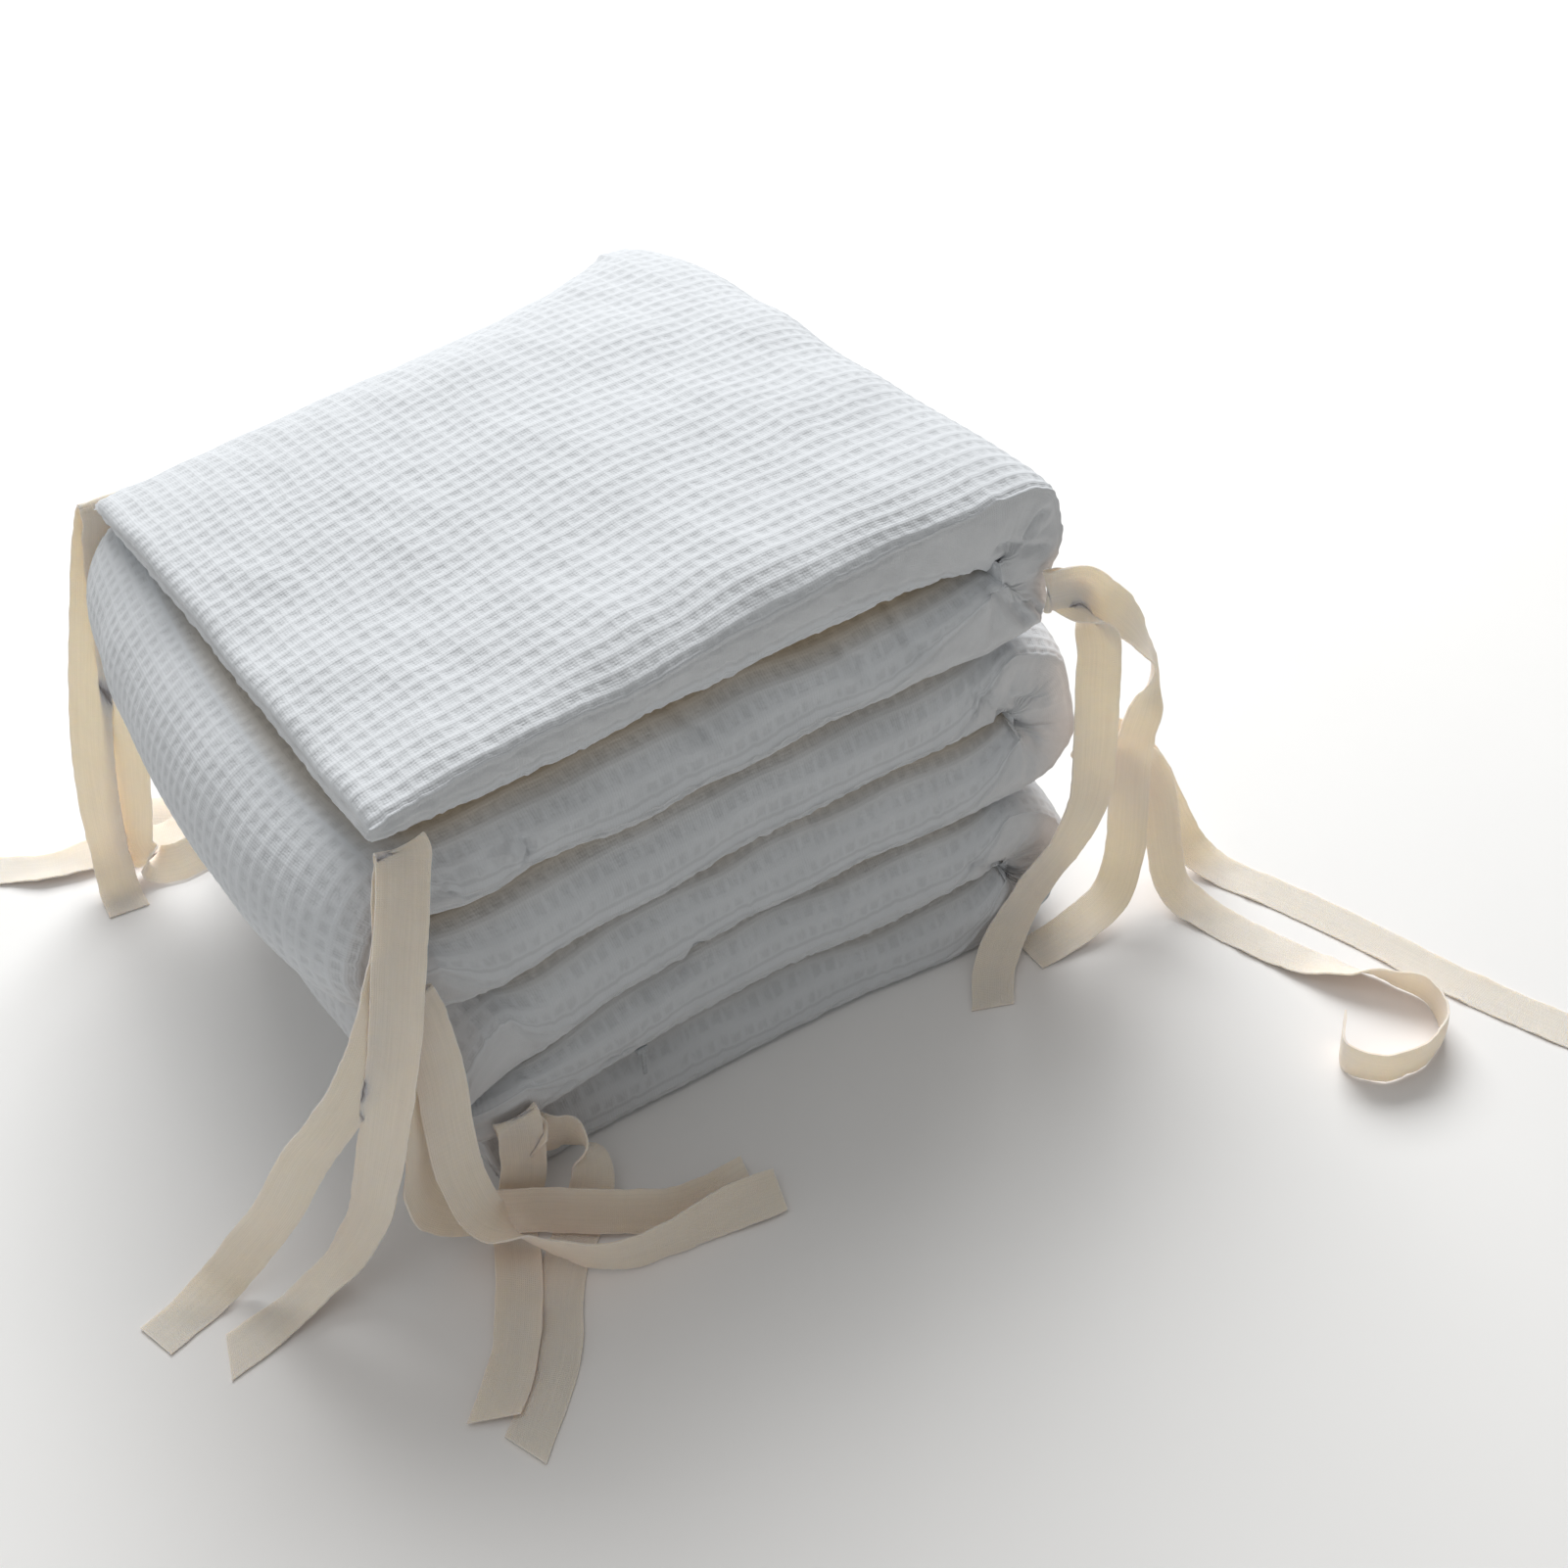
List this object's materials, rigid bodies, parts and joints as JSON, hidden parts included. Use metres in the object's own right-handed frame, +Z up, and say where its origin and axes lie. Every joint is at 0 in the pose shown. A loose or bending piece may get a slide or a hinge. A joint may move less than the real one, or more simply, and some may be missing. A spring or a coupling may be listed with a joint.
{
  "type": "folded crib bumper",
  "caption": "Padded waffle-cotton crib bumper strip, folded back and forth into a flat-sided stack, with cotton tape ties hanging from its seams.",
  "frame": {"origin": "middle of the flat underside of the folded stack", "axes": "+Z up, +X along the layers from the strip's free ends to its first fold, +Y across the strip from its front edge to its back edge"},
  "size_m": [0.6469, 0.6324, 0.2756],
  "materials": {
    "waffle_cotton": "waffle weave, matt",
    "cotton_tape": "unbleached twill, matt",
    "coated_zinc": "pale grey coating"
  },
  "bodies": {
    "root": {"padded_strip": "waffle_cotton", "tie_top_front": "cotton_tape", "tie_fold_front": "cotton_tape", "tie_bottom_front": "cotton_tape", "tie_top_back": "cotton_tape", "tie_bottom_back": "cotton_tape", "tie_upper_right": "cotton_tape", "tie_lower_right": "cotton_tape", "zip_slider": "coated_zinc"}
  },
  "joints": []
}
